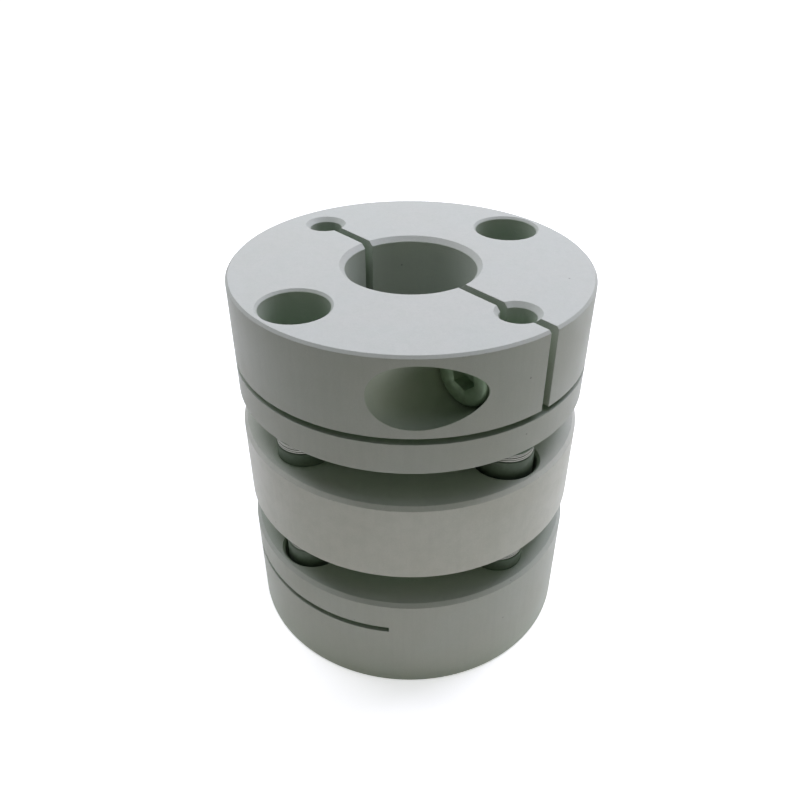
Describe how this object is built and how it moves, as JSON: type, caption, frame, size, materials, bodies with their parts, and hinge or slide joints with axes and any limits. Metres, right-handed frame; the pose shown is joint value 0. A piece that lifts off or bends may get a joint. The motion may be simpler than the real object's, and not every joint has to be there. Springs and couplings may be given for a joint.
{
  "type": "flexible shaft coupling",
  "caption": "Double-disc flexible shaft coupling: two aluminium clamp hubs joined through a centre spacer by packs of thin steel leaves.",
  "frame": {"origin": "centre of the lower hub's end face, on the shaft axis", "axes": "+Z along the shaft axis, out of the upper hub; +X through the open side of the upper hub's slit; the clamp screws' heads face -Y"},
  "size_m": [0.044, 0.044, 0.0505],
  "materials": {
    "hub_aluminium": "bead-blasted and clear anodised, matte",
    "spacer_aluminium": "bead-blasted and clear anodised, matte",
    "leaf_steel": "cold-rolled stainless spring sheet",
    "collar_steel": "turned, dull",
    "screw_steel": "black oxide, satin"
  },
  "bodies": {
    "lower_hub_body": {"lower_hub": "hub_aluminium", "lower_clamp_screw": "screw_steel", "lower_hub_collar_slit": "collar_steel", "lower_hub_collar_hinge": "collar_steel", "lower_hub_screw_slit": "screw_steel", "lower_hub_screw_hinge": "screw_steel"},
    "lower_pack": {"lower_leaf_1": "leaf_steel", "lower_leaf_2": "leaf_steel", "lower_leaf_3": "leaf_steel", "lower_leaf_4": "leaf_steel"},
    "spacer_body": {"center_spacer": "spacer_aluminium", "lower_spacer_collar_front": "collar_steel", "lower_spacer_collar_back": "collar_steel", "lower_spacer_screw_front": "screw_steel", "lower_spacer_screw_back": "screw_steel", "upper_spacer_collar_front": "collar_steel", "upper_spacer_collar_back": "collar_steel", "upper_spacer_screw_front": "screw_steel", "upper_spacer_screw_back": "screw_steel"},
    "upper_pack": {"upper_leaf_1": "leaf_steel", "upper_leaf_2": "leaf_steel", "upper_leaf_3": "leaf_steel", "upper_leaf_4": "leaf_steel"},
    "upper_hub_body": {"upper_hub": "hub_aluminium", "upper_clamp_screw": "screw_steel", "upper_hub_collar_slit": "collar_steel", "upper_hub_collar_hinge": "collar_steel", "upper_hub_screw_slit": "screw_steel", "upper_hub_screw_hinge": "screw_steel"}
  },
  "joints": [
    {"name": "lower_hub_tilt", "type": "hinge", "parent": "lower_hub_body", "child": "lower_pack", "pos_m": [0, 0, 0.01725], "axis": [1, 0, 0], "range_deg": [-1, 1], "stiffness_Nm_per_rad": 2, "deforming": ["lower_leaf_1", "lower_leaf_2", "lower_leaf_3", "lower_leaf_4"]},
    {"name": "lower_spacer_tilt", "type": "hinge", "parent": "lower_pack", "child": "spacer_body", "pos_m": [0, 0, 0.01725], "axis": [0, 1, 0], "range_deg": [-1, 1], "stiffness_Nm_per_rad": 2},
    {"name": "upper_spacer_tilt", "type": "hinge", "parent": "spacer_body", "child": "upper_pack", "pos_m": [0, 0, 0.03325], "axis": [0, 1, 0], "range_deg": [-1, 1], "stiffness_Nm_per_rad": 2},
    {"name": "upper_hub_tilt", "type": "hinge", "parent": "upper_pack", "child": "upper_hub_body", "pos_m": [0, 0, 0.03325], "axis": [1, 0, 0], "range_deg": [-1, 1], "stiffness_Nm_per_rad": 2, "deforming": ["upper_leaf_1", "upper_leaf_2", "upper_leaf_3", "upper_leaf_4"]}
  ]
}
